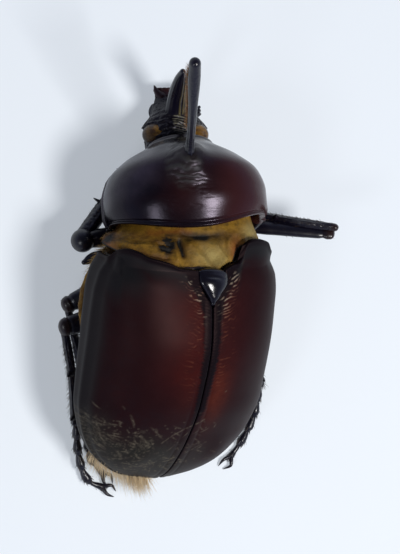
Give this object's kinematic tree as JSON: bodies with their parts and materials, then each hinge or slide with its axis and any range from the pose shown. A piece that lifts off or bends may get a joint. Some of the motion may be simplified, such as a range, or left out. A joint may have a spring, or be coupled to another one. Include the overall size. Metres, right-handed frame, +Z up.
{
  "type": "golofa beetle",
  "caption": "Male golofa beetle, a still life-size model lying on its belly and legs: slender upright horn on its prothorax, shorter horn on its head, chestnut wing cases.",
  "frame": {"origin": "middle of the base of the part's box, on the floor it rests on", "axes": "+Y from the tail toward the head, +X to the beetle's right, +Z up"},
  "size_m": [0.0282, 0.0428, 0.0234],
  "materials": {
    "prothorax_shell": "polished, near-black brown",
    "prothorax_horn": "glossy black, with a brush of orange hair in front",
    "head_shell": "black, wrinkled and pitted",
    "head_horn": "glossy black, finely furrowed",
    "eye": "amber brown, finely faceted",
    "jaw": "glossy black",
    "mouthparts": "dark red-brown",
    "antenna": "dark red-brown",
    "scutellum": "mirror-bright black",
    "wing_case": "dark chestnut red, satin gloss with fine pits",
    "thorax_shell": "black-brown with golden hair",
    "abdomen_shell": "black-brown, ringed, with a fringe of golden hair",
    "waist_skin": "soft golden skin with short hair",
    "hip": "glossy black-brown",
    "thigh": "glossy black",
    "shin": "glossy black, toothed",
    "foot": "glossy black, bristly"
  },
  "bodies": {
    "root": {"pronotum": "prothorax_shell", "pronotal_horn": "prothorax_horn", "head": "head_shell", "head_horn": "head_horn", "eye_left": "eye", "eye_right": "eye", "mandible_left": "jaw", "mandible_right": "jaw", "mouthparts": "mouthparts", "antenna_left": "antenna", "antenna_right": "antenna", "scutellum": "scutellum", "elytron_left": "wing_case", "elytron_right": "wing_case", "thorax": "thorax_shell", "abdomen": "abdomen_shell", "waist": "waist_skin", "coxa_front_left": "hip", "femur_front_left": "thigh", "tibia_front_left": "shin", "tarsus_front_left": "foot", "coxa_front_right": "hip", "femur_front_right": "thigh", "tibia_front_right": "shin", "tarsus_front_right": "foot", "coxa_mid_left": "hip", "femur_mid_left": "thigh", "tibia_mid_left": "shin", "tarsus_mid_left": "foot", "coxa_mid_right": "hip", "femur_mid_right": "thigh", "tibia_mid_right": "shin", "tarsus_mid_right": "foot", "coxa_hind_left": "hip", "femur_hind_left": "thigh", "tibia_hind_left": "shin", "tarsus_hind_left": "foot", "coxa_hind_right": "hip", "femur_hind_right": "thigh", "tibia_hind_right": "shin", "tarsus_hind_right": "foot"}
  },
  "joints": []
}
